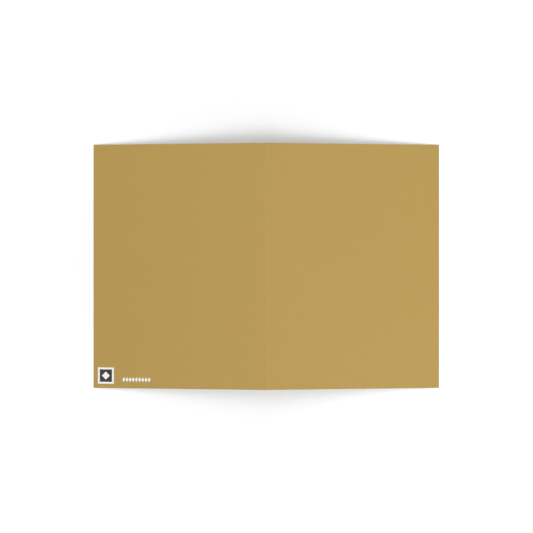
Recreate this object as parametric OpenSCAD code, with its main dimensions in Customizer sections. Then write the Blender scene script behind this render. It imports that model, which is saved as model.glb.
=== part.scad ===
// Folded note card: one sheet of stiff card with a single scored fold, opened out
// and laid with its outside up, so that it stands as a shallow tent on its free edges.
// The fold runs along Y above the origin, and the free edges rest on the plane Z = 0.
// The front panel is on the +X side of the fold and the back panel on the -X side.

/* [Sheet] */
// Width of one panel of the flat sheet, from the fold to the free edge
panel_w = 127; // [80:0.5:180]
// Length of the fold, which is the height of the closed card
panel_h = 177.8; // [100:0.1:260]
// Thickness of the card stock
stock_t = 0.36; // [0.2:0.02:0.6]

/* [Fold] */
// Angle between the two panels, on the inside
open_angle = 168; // [60:1:174]
// Radius of the outside of the opened crease
crease_r = 6; // [2:0.5:12]

/* [Score] */
// Height of the bead that the score raises along the inside of the fold
bead_h = 0.14; // [0.04:0.02:0.3]
// Radius of the top of that bead
bead_r = 0.9; // [0.4:0.1:2]

/* [Hidden] */
$fn = 128;

card_colour = "#BB9C5A";

// Slope of each panel from the level, and the angle that the sheet turns through at the fold
panel_slope = (180 - open_angle) / 2;
fold_turn = 2 * panel_slope;

// The crease is a bend of constant thickness, and the sheet keeps its length at mid thickness
crease_mid_r = crease_r - stock_t / 2;
crease_in_r = crease_r - stock_t;
half_crease_len = crease_mid_r * panel_slope * PI / 180;
panel_run = panel_w - half_crease_len;

// Height of the crease's centre that sets the inner corners of the free edges on Z = 0
crease_z = panel_run * sin(panel_slope) - crease_in_r * cos(panel_slope);

// The bent strip between the two panels, turned about the crease's centre line
module crease() {
    rotate(90 - panel_slope)
        rotate_extrude(angle = fold_turn)
            translate([crease_in_r, 0])
                square([stock_t, panel_h]);
}

// One flat panel, tangent to the crease
module panel() {
    rotate(-panel_slope)
        translate([0, crease_in_r])
            cube([panel_run, stock_t, panel_h]);
}

// The rounded bead along the inside of the crease, rooted in the inner half of the sheet
module score_bead() {
    linear_extrude(height = panel_h)
        intersection() {
            circle(crease_mid_r);
            translate([0, crease_in_r - bead_h + bead_r])
                circle(bead_r);
        }
}

// The sheet is drawn with its fold along Z, then laid with the fold along Y
module note_card() {
    color(card_colour)
        translate([0, panel_h / 2, crease_z])
            rotate([90, 0, 0]) {
                crease();
                panel();
                mirror([1, 0, 0])
                    panel();
                score_bead();
            }
}

note_card();
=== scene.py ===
"""Looks of a folded note card, opened out and resting outside up on its free edges.

Every length is in metres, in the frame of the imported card: the fold runs along Y above the
origin, the front panel is on the +X side, and the free edges rest on the plane Z = 0.
"""

import logging
import math
from collections.abc import Callable, Iterator
from contextlib import contextmanager
from dataclasses import dataclass, field
from enum import Enum, IntEnum, auto

import bmesh
import bpy
from mathutils import Euler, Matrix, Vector


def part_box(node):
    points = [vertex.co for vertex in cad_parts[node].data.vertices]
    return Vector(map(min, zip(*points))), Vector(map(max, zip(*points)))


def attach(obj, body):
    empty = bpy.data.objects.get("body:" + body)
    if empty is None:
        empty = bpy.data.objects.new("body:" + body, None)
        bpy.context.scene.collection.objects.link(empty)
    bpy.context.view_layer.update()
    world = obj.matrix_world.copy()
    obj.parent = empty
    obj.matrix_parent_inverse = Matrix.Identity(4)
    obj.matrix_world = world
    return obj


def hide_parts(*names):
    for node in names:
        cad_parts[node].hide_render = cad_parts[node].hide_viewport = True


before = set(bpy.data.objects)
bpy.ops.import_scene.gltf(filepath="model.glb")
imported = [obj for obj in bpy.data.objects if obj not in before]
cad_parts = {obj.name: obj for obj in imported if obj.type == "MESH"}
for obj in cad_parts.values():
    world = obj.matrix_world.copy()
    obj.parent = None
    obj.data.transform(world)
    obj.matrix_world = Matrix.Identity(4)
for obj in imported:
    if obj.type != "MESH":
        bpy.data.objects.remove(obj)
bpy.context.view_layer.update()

LOG = logging.getLogger("note_card")
BODY = "root"
CARD_NODE = "note_card"
MM = 0.001
NEAR = 0.001 * MM
UNIT = 1.0
LOZENGE_CORNERS = 4

Colour = tuple[float, float, float]
Socket = bpy.types.NodeSocket
Value = Socket | float | tuple[float, ...]


class SheetFace(IntEnum):
    """The kinds of surface on the sheet, in the order of its material slots."""

    OUTSIDE = 0
    INSIDE = 1
    CUT_EDGE = 2


class Panel(Enum):
    """The two panels, by the side of the fold that they lie on along X."""

    FRONT = 1
    BACK = -1


class Outline(Enum):
    """The flat outlines that pieces start from."""

    RECTANGLE = auto()
    LOZENGE = auto()


class Ink(Enum):
    """The inks of the small print."""

    WHITE = auto()
    DARK = auto()


def srgb(red: int, green: int, blue: int) -> Colour:
    """Turn a screen colour into the linear values that shaders take.

    Args:
        red: Red from 0 to 255.
        green: Green from 0 to 255.
        blue: Blue from 0 to 255.

    Returns:
        The linear red, green and blue from 0 to 1.
    """
    def linear(level: int) -> float:
        """Undo the screen's curve for one channel."""
        share = level / 255
        return share / 12.92 if share <= 0.04045 else ((share + 0.055) / 1.055) ** 2.4

    return linear(red), linear(green), linear(blue)


def add_flat(
    name: str, outline: Outline, width: float, depth: float, place: Vector, turn: Euler
) -> bpy.types.Object:
    """Add a flat outline to be shaped, with its place and size in its mesh.

    Args:
        name: Name of the new piece and of its mesh.
        outline: The outline's form.
        width: Size along the outline's own X.
        depth: Size along the outline's own Y.
        place: Where its middle lies.
        turn: How it is turned.

    Returns:
        The new object, active and the only one selected.
    """
    bpy.ops.object.select_all(action="DESELECT")
    if outline is Outline.LOZENGE:
        bpy.ops.mesh.primitive_circle_add(
            vertices=LOZENGE_CORNERS, radius=UNIT / 2, fill_type="NGON", location=place, rotation=turn
        )
    else:
        bpy.ops.mesh.primitive_plane_add(size=UNIT, location=place, rotation=turn)
    piece = bpy.context.active_object
    piece.name = name
    piece.data.name = name
    piece.scale = (width, depth, UNIT)
    bpy.ops.object.transform_apply(location=True, rotation=True, scale=True)
    return piece


@contextmanager
def editing(piece: bpy.types.Object) -> Iterator[None]:
    """Hold a piece in edit mode, with nothing selected at the start.

    Args:
        piece: The object to edit, which becomes the active one.

    Returns:
        A context that goes back to object mode when it ends.
    """
    bpy.context.view_layer.objects.active = piece
    bpy.ops.object.mode_set(mode="EDIT")
    bpy.ops.mesh.select_all(action="DESELECT")
    try:
        yield
    finally:
        bpy.ops.object.mode_set(mode="OBJECT")


def select_faces(piece: bpy.types.Object, wanted: Callable[[bmesh.types.BMFace], bool]) -> None:
    """Select the faces that a test picks, and nothing else.

    Args:
        piece: The object in edit mode.
        wanted: Test of one face.
    """
    bpy.ops.mesh.select_mode(type="FACE")
    bpy.ops.mesh.select_all(action="DESELECT")
    mesh = bmesh.from_edit_mesh(piece.data)
    for face in mesh.faces:
        face.select_set(wanted(face))
    mesh.select_flush_mode()
    bmesh.update_edit_mesh(piece.data)


def select_line(piece: bpy.types.Object, across: float, height: float) -> None:
    """Select the vertices on one line along Y, and nothing else.

    Args:
        piece: The object in edit mode.
        across: The line's place along X.
        height: The line's place along Z.
    """
    bpy.ops.mesh.select_mode(type="VERT")
    bpy.ops.mesh.select_all(action="DESELECT")
    mesh = bmesh.from_edit_mesh(piece.data)
    for vert in mesh.verts:
        vert.select_set(math.hypot(vert.co.x - across, vert.co.z - height) < NEAR)
    mesh.select_flush_mode()
    bmesh.update_edit_mesh(piece.data)


def apply_modifier(piece: bpy.types.Object, kind: str, **settings: object) -> None:
    """Add a modifier to a piece, set it and apply it.

    Args:
        piece: The object to change.
        kind: Blender's name of the modifier's type.
        settings: Values of the modifier's own properties.
    """
    bpy.context.view_layer.objects.active = piece
    modifier = piece.modifiers.new(kind.lower(), kind)
    for name, value in settings.items():
        setattr(modifier, name, value)
    bpy.ops.object.modifier_apply(modifier=modifier.name)


class NodeTree:
    """A shader tree that grows node by node."""

    def __init__(self, tree: bpy.types.ShaderNodeTree) -> None:
        """Empty the tree and keep it.

        Args:
            tree: The node tree of a material, a world or a group.
        """
        self.tree = tree
        tree.nodes.clear()

    def add(
        self, kind: str, inputs: dict[str | int, Value] | None = None, **settings: object
    ) -> bpy.types.ShaderNode:
        """Add a node, set it and feed its inputs.

        Args:
            kind: Blender's name of the node's type.
            inputs: Each input's name or number, with a value or the socket that feeds it.
            settings: Values of the node's own properties.

        Returns:
            The new node.
        """
        node = self.tree.nodes.new(kind)
        for name, value in settings.items():
            setattr(node, name, value)
        for key, value in (inputs or {}).items():
            self.feed(node.inputs[key], value)
        return node

    def feed(self, socket: Socket, value: Value) -> None:
        """Link a socket to an output, or set its value.

        Args:
            socket: The input to feed.
            value: An output socket, a number, a colour or a vector.
        """
        if isinstance(value, Socket):
            self.tree.links.new(value, socket)
        elif socket.type == "RGBA":
            socket.default_value = (*value, 1.0)
        else:
            socket.default_value = value

    def calculate(self, operation: str, *values: Value) -> Socket:
        """Work out a number from others.

        Args:
            operation: Blender's name of the operation.
            values: The numbers or outputs that it takes, in order.

        Returns:
            The result's output.
        """
        return self.add("ShaderNodeMath", dict(enumerate(values)), operation=operation).outputs["Value"]

    def blend(self, share: Value, first: Value, second: Value) -> Socket:
        """Mix two colours.

        Args:
            share: How much of the second colour shows, as a number or an output.
            first: The first colour, or an output.
            second: The second colour, or an output.

        Returns:
            The mixed colour's output.
        """
        node = self.add("ShaderNodeMix", data_type="RGBA")
        colours = [socket for socket in node.inputs if socket.type == "RGBA"]
        self.feed(node.inputs["Factor"], share)
        self.feed(colours[0], first)
        self.feed(colours[1], second)
        return next(socket for socket in node.outputs if socket.type == "RGBA")

    def ramp(
        self, value: Socket, low: float, high: float, to_low: float = 0.0, to_high: float = 1.0
    ) -> Socket:
        """Map a value from one range to another, held at both ends.

        Args:
            value: The output to map.
            low: Start of the range that is read.
            high: End of the range that is read.
            to_low: Result at the start.
            to_high: Result at the end.

        Returns:
            The mapped value's output.
        """
        ends = {"Value": value, "From Min": low, "From Max": high, "To Min": to_low, "To Max": to_high}
        return self.add("ShaderNodeMapRange", ends).outputs["Result"]

    def noise(self, vector: Socket, scale: Value, detail: float) -> Socket:
        """Add a noise pattern.

        Args:
            vector: The coordinates' output.
            scale: The pattern's scale, as a number or an output.
            detail: Number of finer octaves.

        Returns:
            The noise's value output.
        """
        pattern = {"Vector": vector, "Scale": scale, "Detail": detail}
        return self.add("ShaderNodeTexNoise", pattern).outputs["Fac"]

    def places(self) -> Socket:
        """Coordinates of the piece's own frame."""
        return self.add("ShaderNodeTexCoord").outputs["Object"]

    def surface(self, sockets: dict[str, Value]) -> None:
        """End a material's tree with its surface.

        Args:
            sockets: What feeds each socket of the surface's shader.
        """
        shader = self.add("ShaderNodeBsdfPrincipled", sockets)
        self.add("ShaderNodeOutputMaterial", {"Surface": shader.outputs["BSDF"]})


def new_material(name: str) -> tuple[bpy.types.Material, NodeTree]:
    """Start a material.

    Args:
        name: The material's name.

    Returns:
        The material and its empty tree.
    """
    material = bpy.data.materials.new(name)
    material.use_nodes = True
    return material, NodeTree(material.node_tree)


@dataclass
class PaperTooth:
    """Shader node group of a paper surface: its tooth, its fibres and the cloudiness of the sheet."""

    name: str = "paper_tooth"
    tooth_detail: float = 3.0
    cloud_detail: float = 2.0
    fibre_detail: float = 1.0
    fibre_turns: tuple[float, float] = (math.radians(34), math.radians(-47))
    fibre_stretch: float = 0.1
    fibre_floor: float = 0.58
    fibre_ceiling: float = 0.74
    fibre_height_share: float = 0.35
    tree: bpy.types.ShaderNodeTree | None = field(default=None, init=False)

    def build(self) -> None:
        """Make the group once."""
        self.tree = bpy.data.node_groups.new(self.name, "ShaderNodeTree")
        sockets = self.tree.interface
        sockets.new_socket("Vector", in_out="INPUT", socket_type="NodeSocketVector")
        for name in ("Tooth Scale", "Fibre Scale", "Cloud Scale"):
            sockets.new_socket(name, in_out="INPUT", socket_type="NodeSocketFloat")
        for name in ("Height", "Fibre", "Cloud"):
            sockets.new_socket(name, in_out="OUTPUT", socket_type="NodeSocketFloat")
        nodes = NodeTree(self.tree)
        given = nodes.add("NodeGroupInput").outputs
        vector = given["Vector"]
        tooth = nodes.noise(vector, given["Tooth Scale"], self.tooth_detail)
        cloud = nodes.noise(vector, given["Cloud Scale"], self.cloud_detail)
        runs = [self.fibre_run(nodes, vector, given["Fibre Scale"], turn) for turn in self.fibre_turns]
        fibre = nodes.calculate("MAXIMUM", *runs)
        height = nodes.calculate("MULTIPLY_ADD", fibre, self.fibre_height_share, tooth)
        nodes.add("NodeGroupOutput", {"Height": height, "Fibre": fibre, "Cloud": cloud})

    def fibre_run(self, nodes: NodeTree, vector: Socket, scale: Socket, turn: float) -> Socket:
        """Draw the fibres that lie one way in the sheet.

        Args:
            nodes: The group's tree.
            vector: The coordinates' output.
            scale: The output that holds the fibres' scale.
            turn: Direction of the fibres about Z.

        Returns:
            A mask that is 1 on the fibres.
        """
        stretch = (self.fibre_stretch, 1.0, 1.0)
        mapping = {"Vector": vector, "Rotation": (0.0, 0.0, turn), "Scale": stretch}
        laid = nodes.add("ShaderNodeMapping", mapping).outputs["Vector"]
        return nodes.ramp(nodes.noise(laid, scale, self.fibre_detail), self.fibre_floor, self.fibre_ceiling)

    def place(
        self, nodes: NodeTree, vector: Socket, tooth: float, fibre: float, cloud: float
    ) -> bpy.types.bpy_prop_collection:
        """Put the group in a material.

        Args:
            nodes: The material's tree.
            vector: The coordinates' output.
            tooth: Size of the tooth.
            fibre: Width of the fibres.
            cloud: Size of the clouds.

        Returns:
            The group's outputs, by name.
        """
        node = nodes.add("ShaderNodeGroup", node_tree=self.tree)
        scales = {"Tooth Scale": 1 / tooth, "Fibre Scale": 1 / fibre, "Cloud Scale": 1 / cloud}
        for name, value in {"Vector": vector, **scales}.items():
            nodes.feed(node.inputs[name], value)
        return node.outputs


@dataclass(frozen=True)
class EdgeRub:
    """Where print rubs through to the stock: the ridge of the fold and the cut edges."""

    half_width: float
    half_length: float
    fold_reach: float
    edge_reach: float = 0.12 * MM
    fold_share: float = 0.14
    edge_share: float = 0.7
    peak_low: float = 0.62
    peak_high: float = 0.74
    core_colour: Colour = srgb(236, 231, 218)

    def mask(self, nodes: NodeTree, vector: Socket, height: Socket) -> Socket:
        """Draw the rubbed places, which show only on the peaks of the tooth.

        Args:
            nodes: The material's tree.
            vector: The coordinates' output.
            height: The output that holds the tooth's height.

        Returns:
            A mask that is 0 on sound print.
        """
        axes = nodes.add("ShaderNodeSeparateXYZ", {"Vector": vector}).outputs
        across = nodes.calculate("ABSOLUTE", axes["X"])
        along = nodes.calculate("ABSOLUTE", axes["Y"])
        fold = nodes.ramp(across, 0.0, self.fold_reach, self.fold_share, 0.0)
        side = nodes.ramp(across, self.half_width - self.edge_reach, self.half_width, 0.0, self.edge_share)
        end = nodes.ramp(along, self.half_length - self.edge_reach, self.half_length, 0.0, self.edge_share)
        rubbed = nodes.calculate("MAXIMUM", nodes.calculate("MAXIMUM", fold, side), end)
        return nodes.calculate("MULTIPLY", rubbed, nodes.ramp(height, self.peak_low, self.peak_high))


@dataclass(frozen=True)
class SurfaceFinish:
    """A flat finish on card: printed or bare, with the tooth of the stock under it."""

    name: str
    colour: Colour
    cloud_colour: Colour
    fibre_colour: Colour
    fibre_share: float
    roughness_low: float
    roughness_high: float
    tooth_depth: float
    gloss: float = 0.3
    tooth: float = 0.34 * MM
    fibre: float = 0.16 * MM
    cloud: float = 9.0 * MM
    height_low: float = 0.3
    height_high: float = 0.8
    bump_strength: float = 0.9

    def make(self, paper: PaperTooth, rub: EdgeRub | None = None) -> bpy.types.Material:
        """Make the material.

        Args:
            paper: The shared paper group.
            rub: Where the finish rubs through to the stock, if it does.

        Returns:
            The new material.
        """
        material, nodes = new_material(self.name)
        vector = nodes.places()
        stock = paper.place(nodes, vector, self.tooth, self.fibre, self.cloud)
        height = stock["Height"]
        shade = nodes.blend(stock["Cloud"], self.colour, self.cloud_colour)
        fibre = nodes.ramp(stock["Fibre"], 0.0, 1.0, 0.0, self.fibre_share)
        colour = nodes.blend(fibre, shade, self.fibre_colour)
        if rub:
            colour = nodes.blend(rub.mask(nodes, vector, height), colour, rub.core_colour)
        matt = nodes.ramp(height, self.height_low, self.height_high, self.roughness_low, self.roughness_high)
        bump = {"Height": height, "Strength": self.bump_strength, "Distance": self.tooth_depth}
        nodes.surface({
            "Base Color": colour,
            "Roughness": matt,
            "Specular IOR Level": self.gloss,
            "Normal": nodes.add("ShaderNodeBump", bump).outputs["Normal"],
        })
        return material


@dataclass(frozen=True)
class CutEdgeFinish:
    """The guillotined edge, where the stock's white plies show as fine streaks along the cut."""

    name: str
    colour: Colour
    ply_colour: Colour
    roughness: float
    ply: float = 0.05 * MM
    ply_length: float = 1.6 * MM
    ply_depth: float = 0.03 * MM
    ply_detail: float = 3.0
    ply_low: float = 0.35
    ply_high: float = 0.65
    bump_strength: float = 0.6

    def make(self) -> bpy.types.Material:
        """Make the material.

        Returns:
            The new material.
        """
        material, nodes = new_material(self.name)
        stretch = (1 / self.ply_length, 1 / self.ply_length, 1 / self.ply)
        mapping = {"Vector": nodes.places(), "Scale": stretch}
        laid = nodes.add("ShaderNodeMapping", mapping).outputs["Vector"]
        plies = nodes.noise(laid, UNIT, self.ply_detail)
        streaks = nodes.ramp(plies, self.ply_low, self.ply_high)
        bump = {"Height": plies, "Strength": self.bump_strength, "Distance": self.ply_depth}
        nodes.surface({
            "Base Color": nodes.blend(streaks, self.ply_colour, self.colour),
            "Roughness": self.roughness,
            "Normal": nodes.add("ShaderNodeBump", bump).outputs["Normal"],
        })
        return material


GOLD_PRINT = SurfaceFinish(
    name="gold_print",
    colour=srgb(182, 150, 80),
    cloud_colour=srgb(180, 149, 78),
    fibre_colour=srgb(185, 154, 86),
    fibre_share=0.5,
    roughness_low=0.5,
    roughness_high=0.64,
    tooth_depth=0.045 * MM,
)
BARE_STOCK = SurfaceFinish(
    name="bare_stock",
    colour=srgb(243, 241, 235),
    cloud_colour=srgb(239, 237, 230),
    fibre_colour=srgb(250, 249, 246),
    fibre_share=0.5,
    roughness_low=0.78,
    roughness_high=0.92,
    tooth_depth=0.06 * MM,
)
WHITE_INK = SurfaceFinish(
    name="white_ink",
    colour=srgb(251, 250, 247),
    cloud_colour=srgb(247, 246, 243),
    fibre_colour=srgb(244, 242, 236),
    fibre_share=0.2,
    roughness_low=0.42,
    roughness_high=0.55,
    tooth_depth=0.03 * MM,
)
DARK_INK = SurfaceFinish(
    name="dark_ink",
    colour=srgb(40, 38, 37),
    cloud_colour=srgb(48, 46, 44),
    fibre_colour=srgb(70, 67, 63),
    fibre_share=0.2,
    roughness_low=0.42,
    roughness_high=0.55,
    tooth_depth=0.03 * MM,
)
WHITE_CORE = CutEdgeFinish(
    name="white_core",
    colour=srgb(244, 242, 236),
    ply_colour=srgb(222, 218, 208),
    roughness=0.9,
)


@dataclass
class CardSheet:
    """The folded sheet: two flat panels, the bent crease between them and the bead inside it."""

    low: Vector
    high: Vector
    stock_t: float = 0.36 * MM
    open_angle: float = math.radians(168)
    crease_r: float = 6.0 * MM
    bead_h: float = 0.14 * MM
    bead_r: float = 0.9 * MM
    bend_steps: int = 12
    arris: float = 0.05 * MM
    arris_segments: int = 2
    arris_angle: float = math.radians(60)
    face_lean: float = math.cos(math.radians(50))
    smooth_angle: float = math.radians(40)
    face_weight: int = 100
    piece: bpy.types.Object | None = field(default=None, init=False)

    @property
    def slope(self) -> float:
        """Slope of each panel from the level."""
        return (math.pi - self.open_angle) / 2

    @property
    def length(self) -> float:
        """Length of the fold."""
        return self.high.y - self.low.y

    @property
    def half_crease(self) -> float:
        """Half the width of the crease's outside, as seen from above."""
        return self.crease_r * math.sin(self.slope)

    @property
    def crease_in_r(self) -> float:
        """Radius of the inside of the crease."""
        return self.crease_r - self.stock_t

    @property
    def crease_z(self) -> float:
        """Height of the line that the crease bends about."""
        return self.high.z - self.crease_r

    @property
    def panel_run(self) -> float:
        """Width of the flat part of a panel, from the crease to the free edge."""
        return (self.high.x - self.half_crease) / math.cos(self.slope)

    def rub(self) -> EdgeRub:
        """Places on the outside where handling rubs the print."""
        return EdgeRub(self.high.x, self.high.y, self.half_crease)

    def down_panel(self, panel: Panel) -> Vector:
        """Direction down a panel from the fold, as a unit vector."""
        return Vector((panel.value * math.cos(self.slope), 0.0, -math.sin(self.slope)))

    def off_panel(self, panel: Panel) -> Vector:
        """Direction straight out of a panel's outside, as a unit vector."""
        return Vector((panel.value * math.sin(self.slope), 0.0, math.cos(self.slope)))

    def turn_of(self, panel: Panel) -> Euler:
        """Turn that lays a flat piece on the outside of a panel."""
        return Euler((0.0, panel.value * self.slope, 0.0))

    def on_outside(self, panel: Panel, inset: float, rise: float, lift: float) -> Vector:
        """Find a spot on the outside of a panel.

        Args:
            panel: The panel.
            inset: Distance from the panel's free edge, along the panel.
            rise: Distance from the card's foot edge, along the fold.
            lift: Height above the card's surface.

        Returns:
            The spot's place.
        """
        off = self.off_panel(panel)
        start = Vector((0.0, self.low.y + rise, self.crease_z)) + off * (self.crease_r + lift)
        return start + self.down_panel(panel) * (self.panel_run - inset)

    def build(self) -> None:
        """Model the sheet: bend the crease, draw out one panel, mirror it and raise the bead."""
        middle = Vector((0.0, 0.0, self.crease_z + self.crease_r - self.stock_t / 2))
        upright = Euler((0.0, math.pi / 2, 0.0))
        self.piece = add_flat("card_sheet", Outline.RECTANGLE, self.stock_t, self.length, middle, upright)
        with editing(self.piece):
            bpy.ops.mesh.select_all(action="SELECT")
            bpy.ops.mesh.spin(
                steps=self.bend_steps,
                angle=-self.slope,
                center=(0.0, 0.0, self.crease_z),
                axis=(0.0, 1.0, 0.0),
            )
            draw_out = self.down_panel(Panel.FRONT) * self.panel_run
            bpy.ops.mesh.extrude_region_move(TRANSFORM_OT_translate={"value": draw_out})
            select_faces(self.piece, lambda face: all(abs(vert.co.x) < NEAR for vert in face.verts))
            bpy.ops.mesh.delete(type="ONLY_FACE")
        apply_modifier(self.piece, "MIRROR", use_axis=(True, False, False), merge_threshold=NEAR)
        self.raise_bead()
        with editing(self.piece):
            bpy.ops.mesh.select_all(action="SELECT")
            bpy.ops.mesh.remove_doubles(threshold=NEAR)
            bpy.ops.mesh.normals_make_consistent(inside=False)
        apply_modifier(
            self.piece,
            "BEVEL",
            width=self.arris,
            segments=self.arris_segments,
            limit_method="ANGLE",
            angle_limit=self.arris_angle,
        )

    def raise_bead(self) -> None:
        """Push the bead of the score out of the inside of the crease, one line of vertices at a time."""
        step = self.slope / self.bend_steps
        bead_middle = self.crease_in_r - self.bead_h + self.bead_r
        with editing(self.piece):
            for number in range(-self.bend_steps, self.bend_steps + 1):
                across = self.crease_in_r * math.sin(number * step)
                surface = self.crease_in_r * math.cos(number * step)
                drop = surface - (bead_middle - math.sqrt(self.bead_r**2 - across**2))
                if drop > 0:
                    select_line(self.piece, across, self.crease_z + surface)
                    bpy.ops.transform.translate(value=(0.0, 0.0, -drop))

    def dress(self, finishes: dict[SheetFace, bpy.types.Material]) -> None:
        """Give each kind of surface its finish and set the sheet in the frame.

        Args:
            finishes: The material of each kind of surface.
        """
        tests: dict[SheetFace, Callable[[bmesh.types.BMFace], bool]] = {
            SheetFace.OUTSIDE: lambda face: face.normal.z > self.face_lean,
            SheetFace.INSIDE: lambda face: face.normal.z < -self.face_lean,
            SheetFace.CUT_EDGE: lambda face: abs(face.normal.z) <= self.face_lean,
        }
        for kind in SheetFace:
            self.piece.data.materials.append(finishes[kind])
        with editing(self.piece):
            for kind, wanted in tests.items():
                select_faces(self.piece, wanted)
                self.piece.active_material_index = kind
                bpy.ops.object.material_slot_assign()
        bpy.ops.object.shade_smooth_by_angle(angle=self.smooth_angle)
        # The broad faces keep their own normals, so that the panels shade flat right up to the crease
        apply_modifier(
            self.piece, "WEIGHTED_NORMAL", mode="FACE_AREA", weight=self.face_weight, keep_sharp=True
        )
        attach(self.piece, BODY)
        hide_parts(CARD_NODE)


@dataclass(frozen=True)
class Film:
    """Form, size and place of one film of ink, with its middle measured from the panel's edges."""

    outline: Outline
    width: float
    height: float
    inset: float
    rise: float
    layer: int = 0


@dataclass
class BackPrint:
    """The small print in the foot corner of the back panel: a tile with a lozenge, and a row of lozenges."""

    sheet: CardSheet
    tile: float = 11.9 * MM
    tile_inset: float = 3.3 * MM
    tile_rise: float = 3.2 * MM
    tile_border: float = 1.4 * MM
    tile_lozenge_share: float = 0.65
    row_inset: float = 21.6 * MM
    row_rise: float = 4.5 * MM
    lozenge_w: float = 2.05 * MM
    lozenge_h: float = 3.75 * MM
    lozenge_pitch: float = 2.34 * MM
    lozenges: int = 9
    film: float = 0.02 * MM
    film_arris_share: float = 0.4
    film_arris_segments: int = 1
    pieces: dict[bpy.types.Object, Ink] = field(default_factory=dict, init=False)

    def add_film(self, name: str, film: Film) -> bpy.types.Object:
        """Model one film of ink on the back panel, with softened upper edges.

        Args:
            name: Name of the piece.
            film: The film's form, size and place.

        Returns:
            The new piece.
        """
        place = self.sheet.on_outside(Panel.BACK, film.inset, film.rise, film.layer * self.film)
        turn = self.sheet.turn_of(Panel.BACK)
        piece = add_flat(name, film.outline, film.width, film.height, place, turn)
        up = self.sheet.off_panel(Panel.BACK) * self.film
        with editing(piece):
            bpy.ops.mesh.select_all(action="SELECT")
            bpy.ops.mesh.extrude_region_move(TRANSFORM_OT_translate={"value": up})
            bpy.ops.mesh.bevel(
                offset=self.film * self.film_arris_share, segments=self.film_arris_segments, affect="EDGES"
            )
            bpy.ops.mesh.select_all(action="SELECT")
            bpy.ops.mesh.normals_make_consistent(inside=False)
        return piece

    @staticmethod
    def repeat(first: bpy.types.Object, moves: list[Vector]) -> bpy.types.Object:
        """Copy a film to each further place and join the copies into one piece.

        Args:
            first: The film that is copied, which stays where it is.
            moves: How far each copy lies from the first.

        Returns:
            The joined piece, under the first film's name.
        """
        parts = [first]
        for move in moves:
            bpy.ops.object.select_all(action="DESELECT")
            first.select_set(True)
            bpy.context.view_layer.objects.active = first
            bpy.ops.object.duplicate()
            copy = bpy.context.active_object
            copy.location = move
            bpy.ops.object.transform_apply(location=True, rotation=False, scale=False)
            parts.append(copy)
        bpy.ops.object.select_all(action="DESELECT")
        for part in parts:
            part.select_set(True)
        bpy.context.view_layer.objects.active = first
        bpy.ops.object.join()
        return first

    def build_on_tile(self, name: str, outline: Outline, size: float, layer: int) -> bpy.types.Object:
        """Model one film of the tile, on the tile's middle.

        Args:
            name: Name of the piece.
            outline: The film's form.
            size: The film's width and height.
            layer: Number of films that lie under it.

        Returns:
            The new piece.
        """
        inset = self.tile_inset + self.tile / 2
        rise = self.tile_rise + self.tile / 2
        return self.add_film(name, Film(outline, size, size, inset, rise, layer))

    def build_row(self) -> bpy.types.Object:
        """Model the row of lozenges beside the tile.

        Returns:
            The new piece.
        """
        inset = self.row_inset + self.lozenge_w / 2
        rise = self.row_rise + self.lozenge_h / 2
        film = Film(Outline.LOZENGE, self.lozenge_w, self.lozenge_h, inset, rise)
        step = self.sheet.down_panel(Panel.BACK) * -self.lozenge_pitch
        moves = [step * number for number in range(1, self.lozenges)]
        return self.repeat(self.add_film("row_lozenges", film), moves)

    def build(self) -> None:
        """Model the tile, film upon film, and the row beside it."""
        field_size = self.tile - 2 * self.tile_border
        lozenge_size = field_size * self.tile_lozenge_share
        self.pieces = {
            self.build_on_tile("tile_ground", Outline.RECTANGLE, self.tile, layer=0): Ink.WHITE,
            self.build_on_tile("tile_field", Outline.RECTANGLE, field_size, layer=1): Ink.DARK,
            self.build_on_tile("tile_lozenge", Outline.LOZENGE, lozenge_size, layer=2): Ink.WHITE,
            self.build_row(): Ink.WHITE,
        }

    def dress(self, inks: dict[Ink, bpy.types.Material]) -> None:
        """Give each film its ink and set it in the frame.

        Args:
            inks: The material of each ink.
        """
        for piece, ink in self.pieces.items():
            piece.data.materials.append(inks[ink])
            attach(piece, BODY)


@dataclass(frozen=True)
class Softbox:
    """A round lamp that faces the middle of the card."""

    name: str
    place: tuple[float, float, float]
    size: float
    power: float

    def build(self) -> None:
        """Hang the lamp, out of the camera's sight."""
        place = Vector(self.place)
        facing = place.to_track_quat("Z", "Y").to_euler()
        bpy.ops.object.light_add(type="AREA", location=place, rotation=facing)
        lamp = bpy.context.active_object
        lamp.name = self.name
        lamp.visible_camera = False
        lamp.data.shape = "DISK"
        lamp.data.size = self.size
        lamp.data.energy = self.power


SOFTBOXES = (
    Softbox(name="softbox_foot", place=(0.0, -1.15, 1.64), size=2.0, power=23.5),
    Softbox(name="softbox_head", place=(0.0, 0.75, 1.07), size=1.3, power=8.9),
    Softbox(name="softbox_side", place=(0.5, -0.28, 0.5), size=0.35, power=1.2),
)


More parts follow.
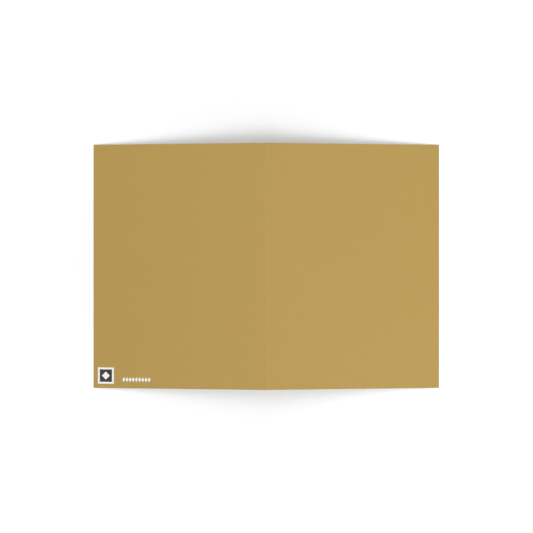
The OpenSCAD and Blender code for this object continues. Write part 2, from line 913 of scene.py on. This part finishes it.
@dataclass
class Studio:
    """A white floor under softboxes, and a camera straight above the card."""

    camera_place: tuple[float, float, float] = (0.15 * MM, -0.11 * MM, 781.0 * MM)
    camera_lens: float = 72.12
    camera_sensor: float = 36.0
    floor_size: float = 8.0
    white: Colour = (1.0, 1.0, 1.0)
    floor_bounce: Colour = (0.8, 0.8, 0.8)
    glow_start: float = 0.1
    glow_end: float = 0.6
    sky: float = 0.1
    softboxes: tuple[Softbox, ...] = SOFTBOXES

    def build(self) -> None:
        """Make the camera, the floor, the lamps and the sky."""
        bpy.context.scene.view_settings.view_transform = "Standard"
        self.build_camera()
        self.build_floor()
        for softbox in self.softboxes:
            softbox.build()
        self.build_sky()

    def build_camera(self) -> None:
        """Hang the camera above the card, looking straight down."""
        bpy.ops.object.camera_add(location=self.camera_place, rotation=(0.0, 0.0, 0.0))
        camera = bpy.context.active_object
        camera.data.lens = self.camera_lens
        camera.data.sensor_width = self.camera_sensor
        bpy.context.scene.camera = camera

    @staticmethod
    def seen_directly(nodes: NodeTree) -> Socket:
        """Tell what the camera sees, itself or through gloss and glass, from what only gives light.

        Args:
            nodes: The tree that asks.

        Returns:
            An output that is 1 for rays that show the background.
        """
        rays = nodes.add("ShaderNodeLightPath").outputs
        seen = rays["Is Camera Ray"]
        for name in ("Is Glossy Ray", "Is Transmission Ray"):
            seen = nodes.calculate("MAXIMUM", seen, rays[name])
        return seen

    def floor_finish(self) -> bpy.types.Material:
        """Make the matte white of the floor, which glows to full white away from the card.

        Returns:
            The new material.
        """
        material, nodes = new_material("white_floor")
        seen = self.seen_directly(nodes)
        # The floor looks white, but throws less light back under the card, as real paper does
        colour = nodes.blend(seen, self.floor_bounce, self.white)
        matte = nodes.add("ShaderNodeBsdfDiffuse", {"Color": colour}).outputs["BSDF"]
        reach = nodes.add("ShaderNodeVectorMath", {0: nodes.places()}, operation="LENGTH").outputs["Value"]
        strength = nodes.calculate("MULTIPLY", nodes.ramp(reach, self.glow_start, self.glow_end), seen)
        light = {"Color": self.white, "Strength": strength}
        glow = nodes.add("ShaderNodeEmission", light).outputs["Emission"]
        both = nodes.add("ShaderNodeAddShader", {0: matte, 1: glow}).outputs["Shader"]
        nodes.add("ShaderNodeOutputMaterial", {"Surface": both})
        return material

    def build_floor(self) -> None:
        """Lay the white floor that the card rests on."""
        bpy.ops.object.select_all(action="DESELECT")
        bpy.ops.mesh.primitive_plane_add(size=self.floor_size)
        floor = bpy.context.active_object
        floor.name = "floor"
        floor.data.materials.append(self.floor_finish())

    def build_sky(self) -> None:
        """Light the scene evenly from all round, with white where the camera looks past the floor."""
        world = bpy.data.worlds.new("soft_sky")
        world.use_nodes = True
        bpy.context.scene.world = world
        nodes = NodeTree(world.node_tree)
        strength = nodes.ramp(self.seen_directly(nodes), 0.0, 1.0, to_low=self.sky)
        sky = nodes.add("ShaderNodeBackground", {"Color": self.white, "Strength": strength})
        nodes.add("ShaderNodeOutputWorld", {"Surface": sky.outputs["Background"]})


def main() -> None:
    """Build the card, its print and the studio round it, and report each piece."""
    logging.basicConfig(level=logging.INFO, format="%(name)s: %(message)s")
    paper = PaperTooth()
    paper.build()
    sheet = CardSheet(*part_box(CARD_NODE))
    sheet.build()
    sheet.dress({
        SheetFace.OUTSIDE: GOLD_PRINT.make(paper, sheet.rub()),
        SheetFace.INSIDE: BARE_STOCK.make(paper),
        SheetFace.CUT_EDGE: WHITE_CORE.make(),
    })
    small_print = BackPrint(sheet)
    small_print.build()
    small_print.dress({Ink.WHITE: WHITE_INK.make(paper), Ink.DARK: DARK_INK.make(paper)})
    for piece in (sheet.piece, *small_print.pieces):
        LOG.info("%s: %d faces", piece.name, len(piece.data.polygons))
    Studio().build()


if __name__ == "__main__":
    main()
